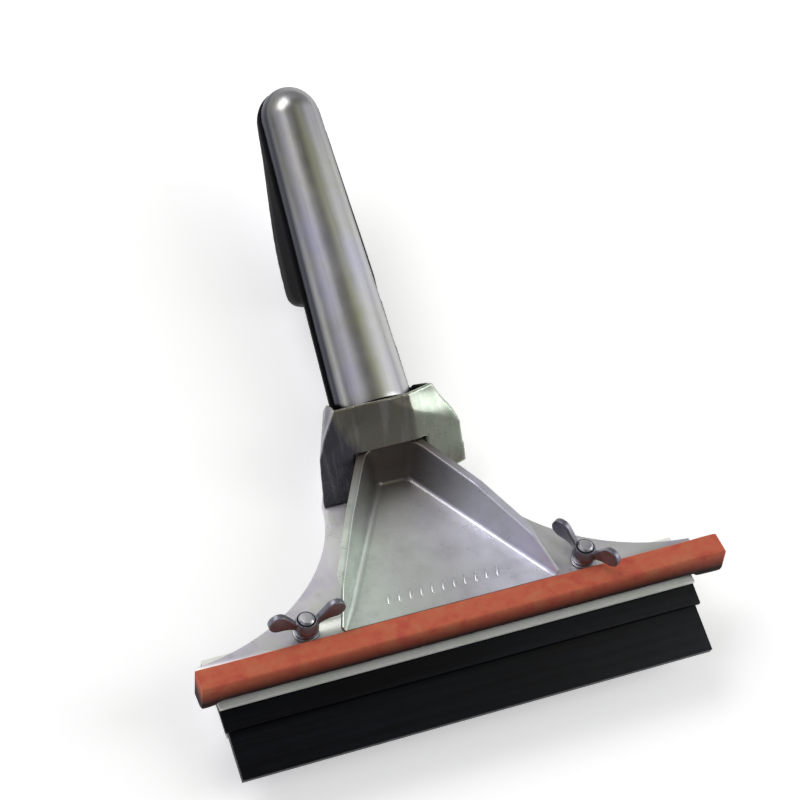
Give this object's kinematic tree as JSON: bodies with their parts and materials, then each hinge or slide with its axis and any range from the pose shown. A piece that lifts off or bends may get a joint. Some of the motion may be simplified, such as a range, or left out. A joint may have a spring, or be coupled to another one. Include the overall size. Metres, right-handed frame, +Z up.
{
  "type": "hand squeegee",
  "caption": "Hand squeegee with a cranked pressed-steel head, a red scrubbing bar and a rubber wiping blade clamped under it by wing nuts.",
  "frame": {"origin": "middle of the bounding box at the level of the surface it lies on: the two clamp-bolt heads and the finger swell", "axes": "+X along the bar and blade, +Y from the blade back to the free end of the handle, +Z up off the table"},
  "size_m": [0.21, 0.2596, 0.0581],
  "materials": {
    "polished_steel": "polished, fine lengthwise grain",
    "pressed_steel": "bright pressed sheet",
    "zinc_steel": "dull zinc plate",
    "cast_alloy": "as cast",
    "red_rubber": "matt, fine-celled",
    "black_rubber": "smooth, slight sheen",
    "black_plastic": "moulded, fine grain"
  },
  "bodies": {
    "frame": {"base_plate": "pressed_steel", "head_pan": "pressed_steel", "socket_hood": "pressed_steel", "neck_block": "cast_alloy", "red_bar": "red_rubber", "flat_washer_left": "zinc_steel", "flat_washer_right": "zinc_steel", "spring_washer_left": "zinc_steel", "spring_washer_right": "zinc_steel", "hood_rivet_left": "zinc_steel", "hood_rivet_right": "zinc_steel", "neck_screw_left": "zinc_steel", "neck_screw_right": "zinc_steel", "handle_shell": "polished_steel", "handle_core": "black_plastic", "handle_grip": "black_plastic", "tang": "zinc_steel", "grip_screw_front": "zinc_steel", "grip_screw_rear": "zinc_steel", "tang_screw_front": "zinc_steel", "tang_screw_rear": "zinc_steel"},
    "nut_left": {"wing_nut_left": "zinc_steel"},
    "nut_right": {"wing_nut_right": "zinc_steel"},
    "blade_pack": {"shelf_strip": "polished_steel", "blade_backing": "black_rubber", "wiper_blade": "black_rubber"},
    "lower_jaw": {"keeper_plate": "pressed_steel", "clamp_bolt_left": "zinc_steel", "clamp_bolt_right": "zinc_steel"}
  },
  "joints": [
    {"name": "nut_left_turn", "type": "hinge", "parent": "frame", "child": "nut_left", "pos_m": [-0.0605, -0.08428, 0.03236], "axis": [0, 0.319, 0.9478], "range_deg": [0, 1080]},
    {"name": "nut_right_turn", "type": "hinge", "parent": "frame", "child": "nut_right", "pos_m": [0.0515, -0.08428, 0.03236], "axis": [0, 0.319, 0.9478], "range_deg": [0, 1080]},
    {"name": "blade_pack_drop", "type": "slide", "parent": "frame", "child": "blade_pack", "axis": [0, -0.319, -0.9478], "range_m": [0, 0.0015]},
    {"name": "lower_jaw_drop", "type": "slide", "parent": "frame", "child": "lower_jaw", "axis": [0, -0.319, -0.9478], "range_m": [0, 0.003]}
  ],
  "couplings": [
    {"joint": "nut_left_turn", "follows": "lower_jaw_drop", "rad_per_m": 6283.2},
    {"joint": "nut_right_turn", "follows": "lower_jaw_drop", "rad_per_m": 6283.2},
    {"joint": "blade_pack_drop", "follows": "lower_jaw_drop", "ratio": 0.5}
  ]
}
